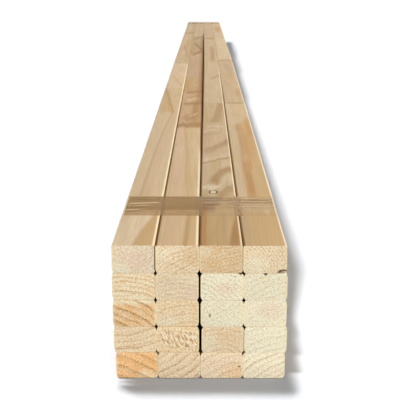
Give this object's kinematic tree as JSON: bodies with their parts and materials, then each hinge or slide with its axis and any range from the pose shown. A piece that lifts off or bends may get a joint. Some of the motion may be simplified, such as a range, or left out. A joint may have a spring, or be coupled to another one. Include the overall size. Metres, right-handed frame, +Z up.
{
  "type": "bundle of pine studs",
  "caption": "Taped bundle of finger-jointed planed pine studs with eased arrises, stacked flat in even rows for framing work.",
  "frame": {"origin": "middle of the bundle's footprint, on the surface that it lies on", "axes": "+Y along the studs from the front ends to the rear ends, +Z up, +X to the right seen from the front ends"},
  "size_m": [0.1738, 3.6004, 0.1416],
  "materials": {
    "pine_pale": "planed",
    "pine_honey": "planed",
    "pine_resinous": "planed",
    "clear_tape": "gloss"
  },
  "bodies": {
    "root": {"stud_row1_col1": "pine_honey", "stud_row1_col2": "pine_honey", "stud_row1_col3": "pine_resinous", "stud_row1_col4": "pine_honey", "stud_row2_col1": "pine_honey", "stud_row2_col2": "pine_honey", "stud_row2_col3": "pine_pale", "stud_row2_col4": "pine_pale", "stud_row3_col1": "pine_resinous", "stud_row3_col2": "pine_honey", "stud_row3_col3": "pine_pale", "stud_row3_col4": "pine_pale", "stud_row4_col1": "pine_honey", "stud_row4_col2": "pine_resinous", "stud_row4_col3": "pine_resinous", "stud_row4_col4": "pine_pale", "stud_row5_col1": "pine_resinous", "stud_row5_col2": "pine_honey", "stud_row5_col3": "pine_honey", "stud_row5_col4": "pine_pale", "tape_band_front": "clear_tape", "tape_band_rear": "clear_tape"}
  },
  "joints": []
}
